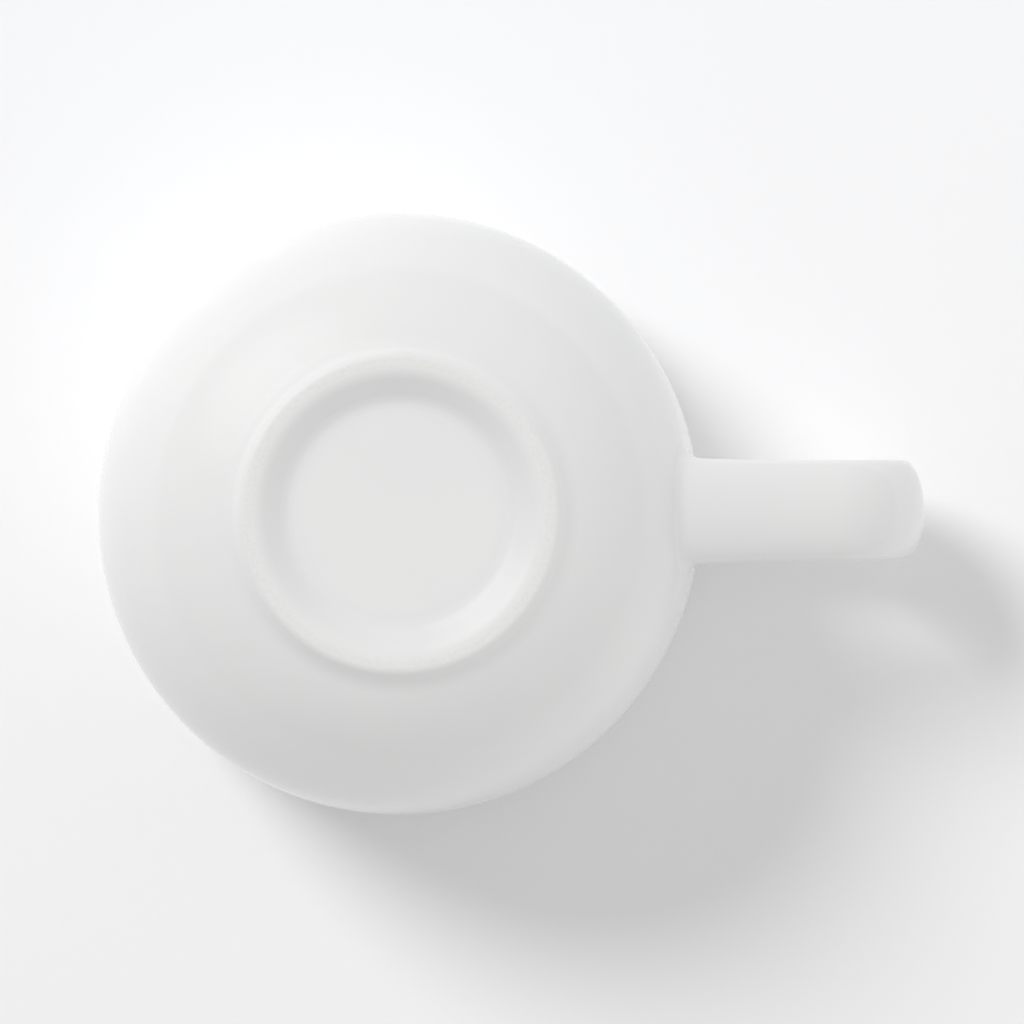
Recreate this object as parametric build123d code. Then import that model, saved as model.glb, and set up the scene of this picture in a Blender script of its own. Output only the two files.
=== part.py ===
from build123d import *
import math
import os

# A wide porcelain shaving mug, standing upright on its foot ring.
# +Z points out of the mouth, the origin is the centre of the foot's resting plane,
# and the handle stands off along +X. All sizes are in millimetres.

# Overall size
MUG_DIAMETER = 100.0
MUG_HEIGHT = 65.0

# Bowl: a straight wall above a rounded belly
WALL = 4.0
BELLY_RADIUS = 35.0
FLOOR_THICKNESS = 4.8
FLOOR_CORNER_RADIUS = 14.0

# Foot ring: a low rounded ridge with a narrow flat to stand on. Inside it a hollow cove,
# whose slope is in degrees from flat, leads up to the flat recess.
FOOT_CREST_DIAMETER = 48.8
FOOT_OUTER_RUN = 2.9
FOOT_OUTER_HEIGHT = 2.3
FOOT_FLAT = 0.8
FOOT_FLARE_RADIUS = 7.0
RECESS_DEPTH = 3.0
COVE_RADIUS = 4.0
COVE_SLOPE = 33.0
CREST_INNER_RADIUS = 4.0
CREST_OUTER_RADIUS = 1.6

# Handle: an oval strap bent into an ear-shaped loop, a little larger at its roots.
# The lower arm slants up as it leaves the bowl, by an angle in degrees.
HANDLE_REACH = 38.0
HANDLE_RISE = 41.0
HANDLE_BELOW_RIM = 6.0
STRAP_WIDTH = 16.6
STRAP_THICKNESS = 7.5
ROOT_GROWTH = 1.1
ROOT_LENGTH_SHARE = 0.22
LOWER_ARM_SLANT = 11.0
LOWER_BEND_SHARE = 0.45
UPPER_BEND_SHARE = 0.33
SLIP_RADIUS = 3.6
SEAM_TOLERANCE = 0.01

# Derived positions
mug_radius = MUG_DIAMETER / 2
lip_radius = WALL / 2
lip_start_z = MUG_HEIGHT - lip_radius
belly_centre_r = mug_radius - BELLY_RADIUS
inner_belly_radius = BELLY_RADIUS - WALL
foot_crest_r = FOOT_CREST_DIAMETER / 2
foot_root_r = foot_crest_r + FOOT_OUTER_RUN
crest_inside_r = foot_crest_r - FOOT_FLAT / 2
crest_outside_r = foot_crest_r + FOOT_FLAT / 2
belly_centre_z = FOOT_OUTER_HEIGHT + math.sqrt(BELLY_RADIUS**2 - (foot_root_r - belly_centre_r) ** 2)
floor_top_z = RECESS_DEPTH + FLOOR_THICKNESS
upper_arm_z = MUG_HEIGHT - HANDLE_BELOW_RIM - STRAP_THICKNESS / 2
arm_gap = HANDLE_RISE - STRAP_THICKNESS
lower_root_z = upper_arm_z - arm_gap
loop_x = mug_radius + HANDLE_REACH - STRAP_THICKNESS / 2


def belly_point(radius, slope):
    """Point on a belly arc where the surface leans by slope, in radians from flat."""
    return (belly_centre_r + radius * math.sin(slope), belly_centre_z - radius * math.cos(slope))


def belly_arc(radius, low_point):
    """Belly arc from a low point up to where the wall turns straight."""
    low_slope = math.acos((belly_centre_z - low_point[1]) / radius)
    middle = belly_point(radius, (low_slope + math.pi / 2) / 2)
    return ThreePointArc(low_point, middle, belly_point(radius, math.pi / 2))


def outer_radius_at(z):
    """Radius of the bowl's outside at height z."""
    drop = max(belly_centre_z - z, 0)
    return belly_centre_r + math.sqrt(BELLY_RADIUS**2 - drop**2)


def arc_run(radius):
    """How far an arc runs, and how far it rises, as it turns from flat to the cove's slope."""
    turn = math.radians(COVE_SLOPE)
    return radius * math.sin(turn), radius * (1 - math.cos(turn))


def crest_turn():
    """Where the crest's inner rounding ends and the straight middle of the cove begins."""
    run, rise = arc_run(CREST_INNER_RADIUS)
    return (crest_inside_r - run, rise)


def cove_turn():
    """Where the straight middle of the cove ends and its hollow arc begins."""
    z = RECESS_DEPTH - arc_run(COVE_RADIUS)[1]
    r, crest_z = crest_turn()
    return (r - (z - crest_z) / math.tan(math.radians(COVE_SLOPE)), z)


def closed_face(*edges):
    return make_face(Curve() + list(edges))


def spin(section):
    """Solid of one full turn about Z of a section drawn as (radius, height), its seam at -X."""
    return Rot(0, 0, 180) * revolve(Plane.XZ * section, Axis.Z)


def underside_edges():
    """Flat recess, the cove's hollow arc, the seat of the foot ring and the belly."""
    cove_end = cove_turn()
    cove_start = (cove_end[0] - arc_run(COVE_RADIUS)[0], RECESS_DEPTH)
    root = (foot_root_r, FOOT_OUTER_HEIGHT)
    return [
        Line((0, RECESS_DEPTH), cove_start),
        TangentArc(cove_start, cove_end, tangent=(1, 0)),
        Line(cove_end, root),
        belly_arc(BELLY_RADIUS, root),
    ]


def filled_bowl_section():
    """Half section of the bowl's outside, filled to the axis and to the rim plane."""
    return closed_face(
        *underside_edges(),
        Line((mug_radius, belly_centre_z), (mug_radius, MUG_HEIGHT)),
        Line((mug_radius, MUG_HEIGHT), (0, MUG_HEIGHT)),
        Line((0, MUG_HEIGHT), (0, RECESS_DEPTH)),
    )


def make_bowl():
    """Bowl with a round lip, a straight wall, a rounded belly and a flat floor."""
    mouth_r = mug_radius - WALL
    lip_top = (mug_radius - lip_radius, MUG_HEIGHT)
    floor_slope = math.acos((belly_centre_z - floor_top_z) / inner_belly_radius)
    floor_edge = belly_point(inner_belly_radius, floor_slope)
    section = closed_face(
        *underside_edges(),
        Line((mug_radius, belly_centre_z), (mug_radius, lip_start_z)),
        TangentArc((mug_radius, lip_start_z), lip_top, tangent=(0, 1)),
        TangentArc(lip_top, (mouth_r, lip_start_z), tangent=(-1, 0)),
        Line((mouth_r, lip_start_z), (mouth_r, belly_centre_z)),
        belly_arc(inner_belly_radius, floor_edge),
        Line(floor_edge, (0, floor_top_z)),
        Line((0, floor_top_z), (0, RECESS_DEPTH)),
    )
    floor_corner = section.vertices().sort_by_distance((floor_edge[0], floor_edge[1], 0))[0]
    return spin(fillet(floor_corner, FLOOR_CORNER_RADIUS))


def outer_wall_end(root):
    """Where a straight line down from the foot's root meets the crest's outer rounding."""
    dx = root[0] - crest_outside_r
    dz = root[1] - CREST_OUTER_RADIUS
    angle = math.atan2(dz, dx) - math.acos(CREST_OUTER_RADIUS / math.hypot(dx, dz))
    return (
        crest_outside_r + CREST_OUTER_RADIUS * math.cos(angle),
        CREST_OUTER_RADIUS + CREST_OUTER_RADIUS * math.sin(angle),
    )


def make_foot_ring():
    """Ridge that rounds into the cove inside and has a short flared wall outside."""
    root = (foot_root_r, FOOT_OUTER_HEIGHT)
    wall_end = outer_wall_end(root)
    ridge = closed_face(
        Line(cove_turn(), crest_turn()),
        TangentArc((crest_inside_r, 0), crest_turn(), tangent=(-1, 0)),
        Line((crest_inside_r, 0), (crest_outside_r, 0)),
        TangentArc((crest_outside_r, 0), wall_end, tangent=(1, 0)),
        Line(wall_end, root),
        Line(root, cove_turn()),
    )
    bowl_side = filled_bowl_section()
    joined = ridge + bowl_side
    corner = joined.vertices().sort_by_distance((root[0], root[1], 0))[0]
    return spin(fillet(corner, FOOT_FLARE_RADIUS) - bowl_side)


def strap_section(path, place, growth):
    """Oval section of the strap, square to its path at a place from 0 to 1."""
    oval = Ellipse(STRAP_WIDTH / 2 * growth, STRAP_THICKNESS / 2 * growth)
    across = Plane(origin=path @ place, x_dir=(0, 1, 0), z_dir=path % place)
    return across * oval


def strap_path():
    """Centre line of the strap, from inside the bowl's wall low down to inside it high up."""
    slant = math.radians(LOWER_ARM_SLANT)
    lower_bend = LOWER_BEND_SHARE * arm_gap
    upper_bend = UPPER_BEND_SHARE * arm_gap
    root_x = outer_radius_at(lower_root_z) - WALL
    turn_x = loop_x - lower_bend * (1 - math.sin(slant))
    turn_z = lower_root_z + (turn_x - root_x) * math.tan(slant)
    side_low = (loop_x, turn_z + lower_bend * math.cos(slant))
    side_high = (loop_x, upper_arm_z - upper_bend)
    upper_turn = (loop_x - upper_bend, upper_arm_z)
    edges = [
        Line((root_x, lower_root_z), (turn_x, turn_z)),
        TangentArc((turn_x, turn_z), side_low, tangent=(math.cos(slant), math.sin(slant))),
        Line(side_low, side_high),
        TangentArc(side_high, upper_turn, tangent=(0, 1)),
        Line(upper_turn, (outer_radius_at(upper_arm_z) - WALL, upper_arm_z)),
    ]
    return Plane.XZ * Wire(edges)


def make_full_strap():
    """The whole strap loop, running on into the bowl's wall at both ends."""
    path = strap_path()
    places = [
        (0, ROOT_GROWTH),
        (ROOT_LENGTH_SHARE, 1),
        (0.5, 1),
        (1 - ROOT_LENGTH_SHARE, 1),
        (1, ROOT_GROWTH),
    ]
    sections = [strap_section(path, place, growth) for place, growth in places]
    return sweep(sections, path=path, multisection=True)


def is_root_edge(edge):
    """Whether an edge is one where the handle meets the bowl."""
    box = edge.bounding_box()
    return box.min.X > foot_root_r and box.max.X < mug_radius + SEAM_TOLERANCE


def make_slip_joints(bowl_side, handle):
    """Concave collars of slip round the two roots of the handle, the lower one first."""
    joined = bowl_side + handle
    roots = joined.edges().filter_by(is_root_edge)
    collars = fillet(roots, SLIP_RADIUS) - bowl_side - handle
    return collars.solids().sort_by(Axis.Z)


bowl_side = spin(filled_bowl_section())
handle = (make_full_strap() - bowl_side).solid()
lower_slip_joint, upper_slip_joint = make_slip_joints(bowl_side, handle)
nodes = {
    "bowl": make_bowl(),
    "foot_ring": make_foot_ring(),
    "handle": handle,
    "lower_slip_joint": lower_slip_joint,
    "upper_slip_joint": upper_slip_joint,
}
os.makedirs("parts", exist_ok=True)
for name, shape in nodes.items():
    export_step(shape, f"parts/{name}.step")
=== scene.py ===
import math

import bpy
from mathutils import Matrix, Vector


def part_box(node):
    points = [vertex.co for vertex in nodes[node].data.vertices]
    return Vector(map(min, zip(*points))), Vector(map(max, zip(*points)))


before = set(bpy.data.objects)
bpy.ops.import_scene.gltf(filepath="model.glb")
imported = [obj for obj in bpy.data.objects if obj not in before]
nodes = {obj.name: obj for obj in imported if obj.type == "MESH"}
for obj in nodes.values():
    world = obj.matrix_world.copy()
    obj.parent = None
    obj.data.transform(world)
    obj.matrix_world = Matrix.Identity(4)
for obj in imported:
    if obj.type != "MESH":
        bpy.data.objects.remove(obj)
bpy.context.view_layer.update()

# %% [markdown]
# # A porcelain shaving mug
# A shaving mug is a wide, low cup. A cake of soap lies on its floor, and a wet brush works up
# lather in the bowl. The bowl is thrown or pressed, the strap handle is stuck on with slip,
# which is runny clay, and a clear glossy glaze covers all of it but the edge that it stands on.
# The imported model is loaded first. Its solids already have the true shape, down to the rounded
# cove inside the foot, so this lesson gives them their glaze, and then a table, lights and a
# camera.

print("nodes", sorted(nodes))

# %% [markdown]
# ## Sizes to work from
# Every place in this file comes from the model's own boxes, so that the finish still fits if
# the mug is made in another size. The foot ring's box gives where the ring meets the belly,
# and the bowl's box gives the rim.

# %% Heights and radii
MM = 0.001
bowl_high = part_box("bowl")[1]
rim_z = bowl_high.z
mug_radius = bowl_high.x
foot_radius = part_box("foot_ring")[1].x
print("rim height", round(rim_z / MM, 1), "mm")
print("mug radius", round(mug_radius / MM, 1), "foot radius", round(foot_radius / MM, 1), "mm")

# %% [markdown]
# ## Node groups for glaze
# Glaze is glass, so its colour hardly changes. What tells the eye that it's real is small:
# the coat is thicker where it ran into a hollow, the fired surface has long soft waves, and
# hands leave faint smears that dull the shine. Each of these is used by several pieces, so
# each one is a node group that is built once. A helper makes an empty group with its sockets.

# %% A helper for groups
def new_group(name, inputs, outputs):
    """An empty shader group. Inputs map a name to (socket type, default), outputs to a type."""
    group = bpy.data.node_groups.new(name, "ShaderNodeTree")
    for label, (kind, default) in inputs.items():
        socket = group.interface.new_socket(label, in_out="INPUT", socket_type=kind)
        socket.default_value = default
    for label, kind in outputs.items():
        group.interface.new_socket(label, in_out="OUTPUT", socket_type=kind)
    start = group.nodes.new("NodeGroupInput")
    end = group.nodes.new("NodeGroupOutput")
    return group, start, end


def math_node(tree, operation, first, second=None, clamp=False):
    """A Math node whose inputs are sockets or plain numbers."""
    node = tree.nodes.new("ShaderNodeMath")
    node.operation = operation
    node.use_clamp = clamp
    for socket, value in zip(node.inputs, (first, second)):
        if isinstance(value, bpy.types.NodeSocket):
            tree.links.new(value, socket)
        elif value is not None:
            socket.default_value = value
    return node.outputs[0]


def ramp_node(tree, value, start, end):
    """A Map Range node that goes smoothly from 0 at start to 1 at end."""
    node = tree.nodes.new("ShaderNodeMapRange")
    node.interpolation_type = "SMOOTHSTEP"
    for label, source in (("Value", value), ("From Min", start), ("From Max", end)):
        if isinstance(source, bpy.types.NodeSocket):
            tree.links.new(source, node.inputs[label])
        else:
            node.inputs[label].default_value = source
    return node.outputs["Result"]


def noise_node(tree, place, scale, detail, roughness=0.5):
    """A Noise node that reads a place and gives a value about 0.5."""
    node = tree.nodes.new("ShaderNodeTexNoise")
    node.inputs["Scale"].default_value = scale
    node.inputs["Detail"].default_value = detail
    node.inputs["Roughness"].default_value = roughness
    tree.links.new(place, node.inputs["Vector"])
    return node.outputs["Fac"]


def split_place(tree, place):
    """The X, Y and Z of a place, as sockets by name."""
    parts = tree.nodes.new("ShaderNodeSeparateXYZ")
    tree.links.new(place, parts.inputs[0])
    return parts.outputs


def length_node(tree, first, second):
    """The length of a step that goes first one way and then second square to it."""
    squares = [math_node(tree, "POWER", part, 2.0) for part in (first, second)]
    return math_node(tree, "SQRT", math_node(tree, "ADD", *squares))


# %% [markdown]
# ## Where the mug turns
# A thrown pot is round about its axis, and so are most of its marks. This group measures the
# distance from the axis and puts out a soft band round one radius and height. Pooled glaze in
# the foot's cove, in the round corner of the floor and in the slip joints are all such bands.

# %% Band round the axis
def make_ring_band():
    group, start, end = new_group(
        "ring_band",
        {
            "Place": ("NodeSocketVector", (0, 0, 0)),
            "Radius": ("NodeSocketFloat", 0.02),
            "Height": ("NodeSocketFloat", 0.0),
            "Width": ("NodeSocketFloat", 0.004),
        },
        {"Mask": "NodeSocketFloat"},
    )
    parts = split_place(group, start.outputs["Place"])
    radius = length_node(group, parts["X"], parts["Y"])
    off_radius = math_node(group, "SUBTRACT", radius, start.outputs["Radius"])
    off_height = math_node(group, "SUBTRACT", parts["Z"], start.outputs["Height"])
    distance = length_node(group, off_radius, off_height)
    away = math_node(group, "DIVIDE", distance, start.outputs["Width"])
    near = ramp_node(group, away, 1.0, 0.0)
    group.links.new(near, end.inputs["Mask"])
    print("group", group.name, len(group.nodes), "nodes")
    return group


ring_band = make_ring_band()

# %% [markdown]
# ## Waves in the fired coat
# A kiln melts the glaze into long, very low swells, and the wheel leaves faint turning lines
# under it. Both are far too low to see in the outline, but they bend the edge of each
# reflection, so they are a height for a Bump node. The swells come from two noises and the
# turning lines from a noise stretched round the axis.

# %% Glaze waves
# How often each pattern repeats in a metre, and how high it is beside the swells
SWELLS_PER_M = 70.0
RIPPLES_PER_M = 260.0
TURNING_LINES_PER_M = 420.0
GRAINS_PER_M = 4200.0
RIPPLE_HEIGHT = 0.12
TURNING_HEIGHT = 0.06


def make_glaze_waves():
    group, start, end = new_group(
        "glaze_waves",
        {
            "Place": ("NodeSocketVector", (0, 0, 0)),
            "Swell": ("NodeSocketFloat", 1.0),
            "Turning": ("NodeSocketFloat", 1.0),
            "Grit": ("NodeSocketFloat", 0.0),
        },
        {"Height": "NodeSocketFloat"},
    )
    place = start.outputs["Place"]
    parts = split_place(group, place)
    round_axis = group.nodes.new("ShaderNodeCombineXYZ")
    group.links.new(length_node(group, parts["X"], parts["Y"]), round_axis.inputs["X"])
    group.links.new(parts["Z"], round_axis.inputs["Z"])
    swell = start.outputs["Swell"]
    ripple = math_node(group, "MULTIPLY", swell, RIPPLE_HEIGHT)
    turning = math_node(group, "MULTIPLY", start.outputs["Turning"], TURNING_HEIGHT)
    layers = [
        (noise_node(group, place, SWELLS_PER_M, 1.0), swell),
        (noise_node(group, place, RIPPLES_PER_M, 1.0), ripple),
        (noise_node(group, round_axis.outputs[0], TURNING_LINES_PER_M, 2.0), turning),
        (noise_node(group, place, GRAINS_PER_M, 2.0), start.outputs["Grit"]),
    ]
    total = 0.0
    for pattern, strength in layers:
        total = math_node(group, "ADD", math_node(group, "MULTIPLY", pattern, strength), total)
    group.links.new(total, end.inputs["Height"])
    print("group", group.name, len(group.nodes), "nodes")
    return group


glaze_waves = make_glaze_waves()

# %% [markdown]
# ## Body colour under the glaze
# Fired porcelain is a very slightly warm white, and a clear glaze over it looks a little cool
# and grey where it is thick. Clouds a few centimetres wide shift the body, and a rare dark
# speck of iron, a fraction of a millimetre across, shows through.

# %% Porcelain colour
def mix_colours(tree, factor, first, second):
    """A Mix node in colour mode between two colours, given as sockets or as plain values."""
    node = tree.nodes.new("ShaderNodeMix")
    node.data_type = "RGBA"
    tree.links.new(factor, node.inputs[0])
    for socket, value in ((node.inputs[6], first), (node.inputs[7], second)):
        if isinstance(value, bpy.types.NodeSocket):
            tree.links.new(value, socket)
        else:
            socket.default_value = value
    return node.outputs[2]


CLOUDS_PER_M = 38.0
CELLS_PER_M = 95.0
CELLS_WITHOUT_SPECK = 0.93
SPECK_DARKNESS = 0.5


def make_porcelain_colour():
    group, start, end = new_group(
        "porcelain_colour",
        {
            "Place": ("NodeSocketVector", (0, 0, 0)),
            "Pool": ("NodeSocketFloat", 0.0),
            "Body": ("NodeSocketColor", (0.875, 0.875, 0.870, 1)),
            "Cloud": ("NodeSocketColor", (0.862, 0.864, 0.860, 1)),
            "Pooled": ("NodeSocketColor", (0.825, 0.835, 0.835, 1)),
            "Speck": ("NodeSocketColor", (0.62, 0.59, 0.55, 1)),
        },
        {"Colour": "NodeSocketColor"},
    )
    place = start.outputs["Place"]
    clouds = ramp_node(group, noise_node(group, place, CLOUDS_PER_M, 2.0), 0.35, 0.68)
    body = mix_colours(group, clouds, start.outputs["Body"], start.outputs["Cloud"])
    pooled = mix_colours(group, start.outputs["Pool"], body, start.outputs["Pooled"])
    cells = group.nodes.new("ShaderNodeTexVoronoi")
    cells.inputs["Scale"].default_value = CELLS_PER_M
    group.links.new(place, cells.inputs["Vector"])
    lottery = group.nodes.new("ShaderNodeSeparateColor")
    group.links.new(cells.outputs["Color"], lottery.inputs[0])
    chosen = math_node(group, "GREATER_THAN", lottery.outputs[0], CELLS_WITHOUT_SPECK)
    dot = ramp_node(group, cells.outputs["Distance"], 0.016, 0.008)
    chosen_dot = math_node(group, "MULTIPLY", dot, chosen)
    speck = math_node(group, "MULTIPLY", chosen_dot, SPECK_DARKNESS)
    final = mix_colours(group, speck, pooled, start.outputs["Speck"])
    group.links.new(final, end.inputs["Colour"])
    print("group", group.name, len(group.nodes), "nodes")
    return group


porcelain_colour = make_porcelain_colour()

# %% [markdown]
# ## Shine and smears
# New glaze reflects like glass. Water marks, soap film and fingers leave patches that are a
# little duller, with no change of colour. A large noise picks the patches, and a fine
# stretched noise gives the wiping streaks inside them.

# %% Handling marks
PATCHES_PER_M = 55.0
STREAKS_PER_M = 900.0
STREAK_STRETCH = (1.0, 0.25, 1.0)


def make_handling_marks():
    group, start, end = new_group(
        "handling_marks",
        {
            "Place": ("NodeSocketVector", (0, 0, 0)),
            "Clean": ("NodeSocketFloat", 0.08),
            "Smeared": ("NodeSocketFloat", 0.22),
        },
        {"Roughness": "NodeSocketFloat"},
    )
    place = start.outputs["Place"]
    patches = ramp_node(group, noise_node(group, place, PATCHES_PER_M, 3.0, 0.6), 0.42, 0.75)
    stretch = group.nodes.new("ShaderNodeVectorMath")
    stretch.operation = "MULTIPLY"
    stretch.inputs[1].default_value = STREAK_STRETCH
    group.links.new(place, stretch.inputs[0])
    streaks = noise_node(group, stretch.outputs[0], STREAKS_PER_M, 2.0)
    smear = math_node(group, "MULTIPLY", patches, streaks)
    clean = start.outputs["Clean"]
    span = math_node(group, "SUBTRACT", start.outputs["Smeared"], clean)
    roughness = math_node(group, "ADD", clean, math_node(group, "MULTIPLY", smear, span))
    group.links.new(roughness, end.inputs["Roughness"])
    print("group", group.name, len(group.nodes), "nodes")
    return group


handling_marks = make_handling_marks()

# %% [markdown]
# ## One glaze, set for each piece
# All the pieces were dipped in the same bucket, so one function makes every glaze material.
# It places the groups, and each piece says where its own glaze pooled. What is the same all
# over, such as how strongly glass bends light, is set on the shader itself.

# %% Glaze material
GLAZE_IOR = 1.5
WAVE_HEIGHT = 0.05 * MM


def place_group(tree, group, values, links):
    """A group node with plain values and linked sockets."""
    node = tree.nodes.new("ShaderNodeGroup")
    node.node_tree = group
    for label, value in values.items():
        node.inputs[label].default_value = value
    for label, source in links.items():
        tree.links.new(source, node.inputs[label])
    return node


def pooled_mask(tree, place, bands):
    """The strongest of several soft bands, each given as (radius, height, width)."""
    total = None
    for radius, height, width in bands:
        values = {"Radius": radius, "Height": height, "Width": width}
        band = place_group(tree, ring_band, values, {"Place": place}).outputs["Mask"]
        total = band if total is None else math_node(tree, "MAXIMUM", total, band)
    return total


def glaze_material(name, bands, pool_strength=0.35, turning=1.0, clean=0.08):
    """Clear glossy glaze over porcelain, pooled along the given bands."""
    material = bpy.data.materials.new(name)
    material.use_nodes = True
    tree = material.node_tree
    shader = tree.nodes["Principled BSDF"]
    place = tree.nodes.new("ShaderNodeTexCoord").outputs["Object"]
    pool = math_node(tree, "MULTIPLY", pooled_mask(tree, place, bands), pool_strength)
    colour = place_group(tree, porcelain_colour, {}, {"Place": place, "Pool": pool})
    tree.links.new(colour.outputs["Colour"], shader.inputs["Base Color"])
    marks = place_group(tree, handling_marks, {"Clean": clean}, {"Place": place})
    tree.links.new(marks.outputs["Roughness"], shader.inputs["Roughness"])
    waves = place_group(tree, glaze_waves, {"Turning": turning}, {"Place": place})
    bump = tree.nodes.new("ShaderNodeBump")
    bump.inputs["Strength"].default_value = 1.0
    bump.inputs["Distance"].default_value = WAVE_HEIGHT
    tree.links.new(waves.outputs["Height"], bump.inputs["Height"])
    tree.links.new(bump.outputs["Normal"], shader.inputs["Normal"])
    shader.inputs["IOR"].default_value = GLAZE_IOR
    print("material", name, len(bands), "bands")
    return material


def dress(node_name, material):
    """Give a carried-over node its finish."""
    node = nodes[node_name]
    node.data.materials.clear()
    node.data.materials.append(material)


# %% [markdown]
# ## The bowl
# Glaze is thickest in the corner where the flat recess under the bowl turns into the cove,
# and in the round corner of the floor inside. Those two hollows are the bowl's bands, and
# the wall, belly and lip between them keep the plain body colour.

# %% Bowl glaze
# Radius, height and width of the bands where glaze pools
recess_corner = (0.6 * foot_radius, 3.0 * MM, 2.5 * MM)
floor_corner = (0.52 * mug_radius, 9.0 * MM, 8.0 * MM)
bowl_glaze = glaze_material("bowl_porcelain_glaze", [recess_corner, floor_corner])
dress("bowl", bowl_glaze)

# %% [markdown]
# ## The foot ring
# The foot has to be wiped bare before firing, or the glaze would weld it to the kiln shelf.
# That leaves a narrow matt line of biscuit on the crest, gritty and a little grey from being
# slid about. The line is mixed by height above the resting plane, with an uneven edge where
# the sponge wiped it.

# %% Foot ring glaze with a bare standing edge
BARE_HEIGHT = 0.05 * MM
EDGE_WOBBLE = 0.08 * MM
BARE_DULLNESS = 0.35
BARE_GRIT = 0.08
CLEAN_BISCUIT = (0.87, 0.868, 0.86, 1)
SCUFFED_BISCUIT = (0.84, 0.838, 0.83, 1)


def add_bare_edge(material):
    """Wipe the glaze off the crest, up to an uneven line just above the resting plane."""
    tree = material.node_tree
    shader = tree.nodes["Principled BSDF"]
    place = tree.nodes.new("ShaderNodeTexCoord").outputs["Object"]
    wobble = math_node(tree, "MULTIPLY", noise_node(tree, place, 400.0, 2.0), EDGE_WOBBLE)
    height = math_node(tree, "SUBTRACT", split_place(tree, place)["Z"], wobble)
    bare = ramp_node(tree, height, BARE_HEIGHT, 0.0)
    scuffs = ramp_node(tree, noise_node(tree, place, 1500.0, 3.0), 0.45, 0.7)
    biscuit = mix_colours(tree, scuffs, CLEAN_BISCUIT, SCUFFED_BISCUIT)
    colour_before = shader.inputs["Base Color"].links[0].from_socket
    tree.links.new(mix_colours(tree, bare, colour_before, biscuit), shader.inputs["Base Color"])
    roughness_before = shader.inputs["Roughness"].links[0].from_socket
    matt = math_node(tree, "MULTIPLY", bare, BARE_DULLNESS)
    tree.links.new(math_node(tree, "ADD", roughness_before, matt), shader.inputs["Roughness"])
    waves = next(n for n in tree.nodes if n.type == "GROUP" and n.node_tree == glaze_waves)
    tree.links.new(math_node(tree, "MULTIPLY", bare, BARE_GRIT), waves.inputs["Grit"])
    print("bare edge up to", round(BARE_HEIGHT / MM, 2), "mm")


cove_band = (0.72 * foot_radius, 2.0 * MM, 3.0 * MM)
foot_glaze = glaze_material("foot_ring_porcelain_glaze", [cove_band], pool_strength=0.2)
add_bare_edge(foot_glaze)
dress("foot_ring", foot_glaze)

# %% [markdown]
# ## The handle and its joints
# The handle was pulled from a strip of clay and bent, so it has no turning lines. It is the
# part that hands hold, so its shine is a little more worn. The two collars of slip are small
# hollows all round the strap's roots, and there the glaze pools most.

# %% Handle and joint glazes
def joint_band(node_name):
    """Band through the middle of a slip joint."""
    low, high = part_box(node_name)
    return ((low.x + high.x) / 2, (low.z + high.z) / 2, high.z - low.z)


lower_band = joint_band("lower_slip_joint")
upper_band = joint_band("upper_slip_joint")
unturned = dict(pool_strength=0.1, turning=0.0)
for node_name, label, bands, clean in (
    ("handle", "handle", [lower_band, upper_band], 0.10),
    ("lower_slip_joint", "lower_joint", [lower_band], 0.08),
    ("upper_slip_joint", "upper_joint", [upper_band], 0.08),
):
    dress(node_name, glaze_material(label + "_porcelain_glaze", bands, clean=clean, **unturned))

# %% [markdown]
# ## Two tables
# The mug can stand on its foot or upside down on its rim, so there is a table top at each end.
# Each one is a large disc of smooth white paper, seen only from the mug's side of it: the
# Backfacing output picks paper or nothing. Its colour carries painted light, a little brighter
# and cooler towards -Y and dimmer and warmer towards +Y. The upper one has a hole where the
# mouth stands on it, and neither casts a shadow, so that light gets past it to the mug.

# %% Tables
TABLE_RADIUS = 3.0
MOUTH_SHARE = 0.97
# Painted light on the paper: a little lighter and cooler at -Y, dimmer and warmer at +Y
PAPER_PAINTED_BRIGHT_COOL = (0.90, 0.905, 0.915, 1)
PAPER_PAINTED_DIM_WARM = (0.90, 0.89, 0.90, 1)
HALF_PAINTED_LIGHT_CHANGE = 0.1


def one_sided_table(name, height, faces_up, hole=0.0):
    """A round table top seen only from the mug's side. A hole leaves room for the mouth."""
    bpy.ops.object.select_all(action="DESELECT")
    bpy.ops.mesh.primitive_circle_add(vertices=128, radius=TABLE_RADIUS, fill_type="NGON")
    table = bpy.context.object
    table.name = name
    bpy.ops.object.mode_set(mode="EDIT")
    bpy.ops.mesh.select_all(action="SELECT")
    bpy.ops.transform.translate(value=(0, 0, height))
    if hole:
        bpy.ops.mesh.inset(thickness=TABLE_RADIUS - hole)
        bpy.ops.mesh.delete(type="FACE")
    bpy.ops.object.mode_set(mode="OBJECT")
    table.data.materials.append(paper_material(name + "_paper", faces_up))
    table.visible_shadow = False
    print(name, "faces", len(table.data.polygons))
    return table


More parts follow.
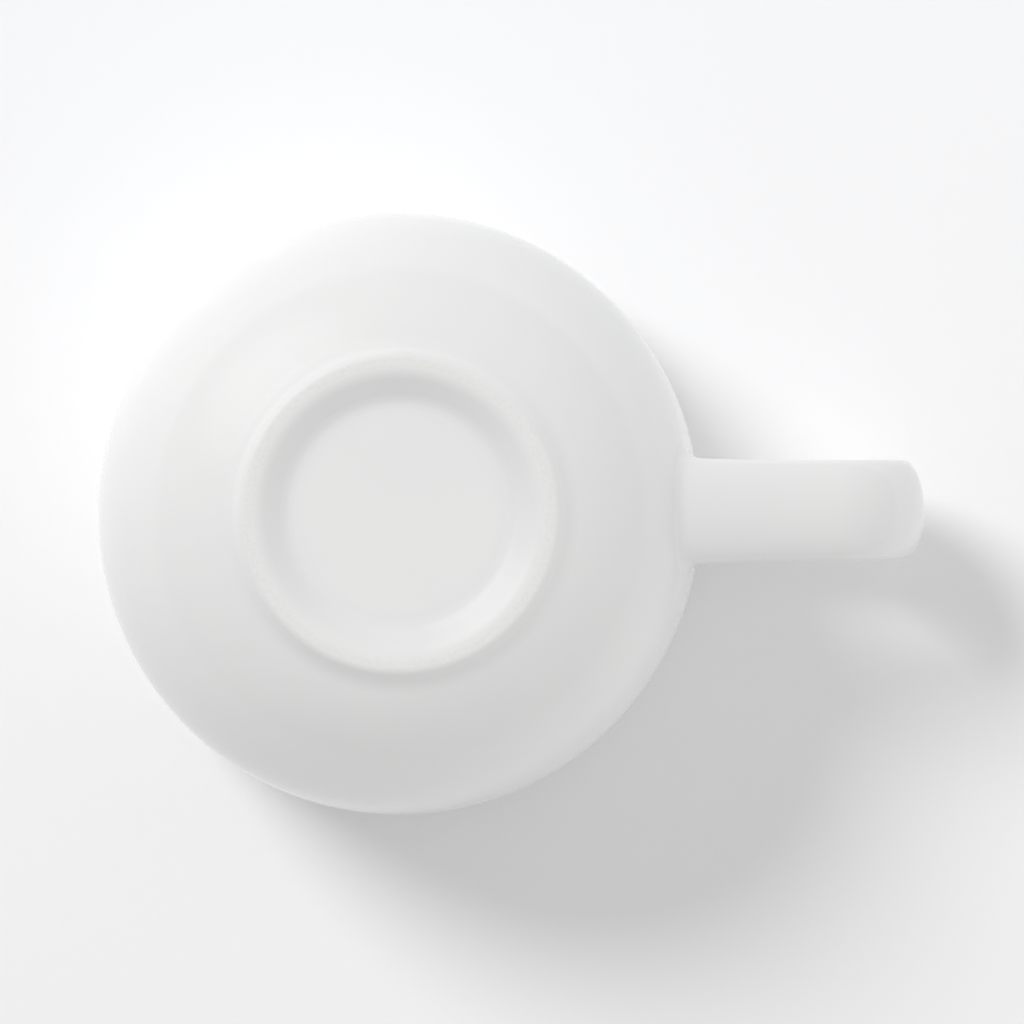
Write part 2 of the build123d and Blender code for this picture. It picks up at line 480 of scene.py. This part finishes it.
def paper_material(name, faces_up):
    """White paper and nothing behind, painted lighter and cooler to -Y, dimmer and warmer to +Y."""
    material = bpy.data.materials.new(name)
    material.use_nodes = True
    tree = material.node_tree
    paper = tree.nodes["Principled BSDF"]
    paper.inputs["Roughness"].default_value = 0.6
    paper.inputs["Specular IOR Level"].default_value = 0.2
    place = tree.nodes.new("ShaderNodeTexCoord").outputs["Object"]
    painted_light_across = tree.nodes.new("ShaderNodeMapRange")
    painted_light_across.inputs["From Min"].default_value = -HALF_PAINTED_LIGHT_CHANGE
    painted_light_across.inputs["From Max"].default_value = HALF_PAINTED_LIGHT_CHANGE
    tree.links.new(split_place(tree, place)["Y"], painted_light_across.inputs["Value"])
    # Painted light gradient: the lighter, cooler end at -Y fades to the dimmer, warmer end at +Y
    colour = mix_colours(tree, painted_light_across.outputs["Result"], PAPER_PAINTED_BRIGHT_COOL, PAPER_PAINTED_DIM_WARM)
    tree.links.new(colour, paper.inputs["Base Color"])
    grain = tree.nodes.new("ShaderNodeBump")
    grain.inputs["Distance"].default_value = 0.01 * MM
    tree.links.new(noise_node(tree, place, 1800.0, 2.0), grain.inputs["Height"])
    tree.links.new(grain.outputs["Normal"], paper.inputs["Normal"])
    nothing = tree.nodes.new("ShaderNodeBsdfTransparent")
    side = tree.nodes.new("ShaderNodeNewGeometry")
    mix = tree.nodes.new("ShaderNodeMixShader")
    tree.links.new(side.outputs["Backfacing"], mix.inputs["Fac"])
    first, second = (paper, nothing) if faces_up else (nothing, paper)
    tree.links.new(first.outputs[0], mix.inputs[1])
    tree.links.new(second.outputs[0], mix.inputs[2])
    tree.links.new(mix.outputs[0], tree.nodes["Material Output"].inputs["Surface"])
    return material


foot_table = one_sided_table("foot_table", 0.0, faces_up=True)
foot_table.visible_diffuse = False
foot_table.visible_glossy = False
rim_table = one_sided_table("rim_table", rim_z, faces_up=False, hole=MOUTH_SHARE * mug_radius)

# %% [markdown]
# ## Soft studio light
# White on white is drawn by light alone. A softbox is an area light, and its power in watts is
# its brightness times its area times pi. For the mug on its rim, the light from below is split
# in two by light linking, so that shadow and glaze can be balanced apart. A far key lights only
# the table and casts the long shadow, and a fill opens it up. The mug has a key and two fills
# of its own, which cast no shadow. Its key is kept out of the glaze, as with crossed polarising
# sheets. Weaker ones behind it, each wider than the last, give the crescent in the foot's
# cove a shine with soft edges. The last key, above, is for the mug standing on its foot.

# %% Lights
def softbox(name, azimuth, elevation, distance, size, brightness, only=(), shadow=True, shine=True):
    """Round area light, aimed at the mug. It may light only some pieces, and leave out shine."""
    toward = studio_direction(azimuth, elevation)
    bpy.ops.object.select_all(action="DESELECT")
    bpy.ops.object.light_add(type="AREA", location=mug_middle + toward * distance)
    light = bpy.context.object
    light.name = name
    light.rotation_euler = toward.to_track_quat("Z", "Y").to_euler()
    light.data.shape = "DISK"
    light.data.size = size
    light.data.energy = brightness * math.pi * size**2
    light.data.use_shadow = shadow
    light.visible_glossy = shine
    if only:
        lit = bpy.data.collections.new(name + "_lights")
        for piece in only:
            lit.objects.link(piece)
        light.light_linking.receiver_collection = lit
    print(name, round(light.data.energy, 1), "W")


def studio_direction(azimuth, elevation):
    """Direction towards a light. Azimuth turns from +X to +Y, elevation is up from level."""
    turn = math.radians(azimuth)
    rise = math.radians(elevation)
    level = math.cos(rise)
    return Vector((math.cos(turn) * level, math.sin(turn) * level, math.sin(rise)))


mug_middle = Vector((0, 0, rim_z / 2))
on_table = dict(only=[rim_table])
on_mug = dict(only=list(nodes.values()), shadow=False)
unseen = dict(shine=False, **on_mug)
softbox("table_key_below", 223, -40.5, distance=4.0, size=1.6, brightness=11.3, **on_table)
on_table["shadow"] = False
softbox("table_fill_below", 320, -40, distance=1.0, size=1.2, brightness=0.62, **on_table)
softbox("mug_key_below", 226, -36, distance=1.5, size=1.2, brightness=1.5, **unseen)
for size in (0.5, 0.9, 1.3, 1.7):
    behind = 1.5 + 0.1 * size
    softbox("mug_shine_below", 226, -36, distance=behind, size=size, brightness=0.24, **on_mug)
softbox("right_fill_below", 12, -35, distance=1.5, size=2.2, brightness=0.39, **unseen)
softbox("front_fill_below", 0, -89, distance=1.8, size=1.6, brightness=0.25, **on_mug)
softbox("key_above", 228, 50, distance=1.2, size=0.6, brightness=3.6)

# %% [markdown]
# ## Pale surroundings
# The world is the white room round the set. The camera sees it as the pale end of the studio.

# %% World
ROOM_BRIGHTNESS = 0.5
world = bpy.data.worlds.new("studio")
bpy.context.scene.world = world
world.use_nodes = True
room = world.node_tree.nodes["Background"]
room.inputs["Color"].default_value = (1, 1, 1, 1)
room.inputs["Strength"].default_value = ROOM_BRIGHTNESS
bpy.context.scene.view_settings.view_transform = "Standard"

# %% [markdown]
# ## The camera
# The camera looks straight up at the foot of the mug from a metre away through a long lens,
# as a photographer looks down at a mug that stands on its rim. The axis of the mug is left of
# the middle of the frame, to leave room for the handle, so the view is aimed a little off it.

# %% Camera
CAMERA_DISTANCE = 1.0
LENS = 211.4
SENSOR = 36
WIDEST_Z = 35 * MM
ROLL = math.radians(0.5)
AIM_X = 18.74 * MM
AIM_Y = -0.12 * MM
frame_centre = Vector((AIM_X, AIM_Y, WIDEST_Z))
camera_data = bpy.data.cameras.new("camera")
camera = bpy.data.objects.new("camera", camera_data)
bpy.context.scene.collection.objects.link(camera)
camera_data.lens = LENS
camera_data.sensor_width = SENSOR
camera_data.clip_start = 0.05
camera_data.clip_end = 20
eye = Vector((0, 0, WIDEST_Z - CAMERA_DISTANCE))
look = (frame_centre - eye).normalized()
right = Vector((1, 0, 0))
right = (right - look * right.dot(look)).normalized()
up = right.cross(look)
roll = Matrix.Rotation(ROLL, 3, look)
right, up = roll @ right, roll @ up
axes = Matrix((right, up, -look)).transposed()
camera.matrix_world = Matrix.Translation(eye) @ axes.to_4x4()
bpy.context.scene.camera = camera
print("camera right", [round(v, 3) for v in right], "up", [round(v, 3) for v in up])
